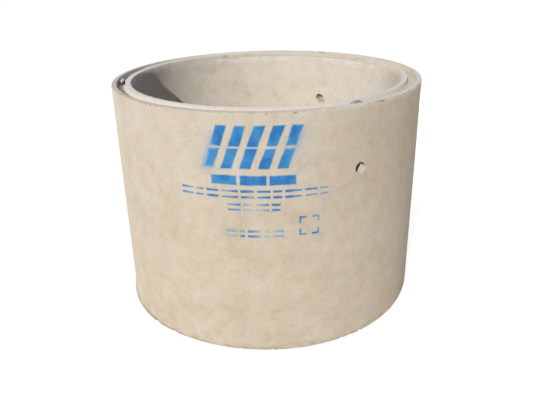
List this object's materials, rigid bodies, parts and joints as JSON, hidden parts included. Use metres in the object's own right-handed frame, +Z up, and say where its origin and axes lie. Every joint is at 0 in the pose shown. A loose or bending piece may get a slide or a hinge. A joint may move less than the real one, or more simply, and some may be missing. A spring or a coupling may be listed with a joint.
{
  "type": "precast concrete chamber ring",
  "caption": "Thick-walled round concrete ring for a culvert or manhole shaft, with a tongue and groove joint, lifting holes through the wall and hairpin bars cast into the rim.",
  "frame": {"origin": "on the ring's axis, at the underside of the tongue that it stands on", "axes": "+Z up along the ring's axis; the picture's camera looks along +Y, with +X to its right"},
  "size_m": [1.38, 1.3798, 1.022],
  "materials": {
    "concrete": "matte",
    "steel_bar": "satin"
  },
  "bodies": {
    "root": {"concrete_ring": "concrete", "hairpin_bar_1": "steel_bar", "hairpin_bar_2": "steel_bar", "hairpin_bar_3": "steel_bar"}
  },
  "joints": []
}
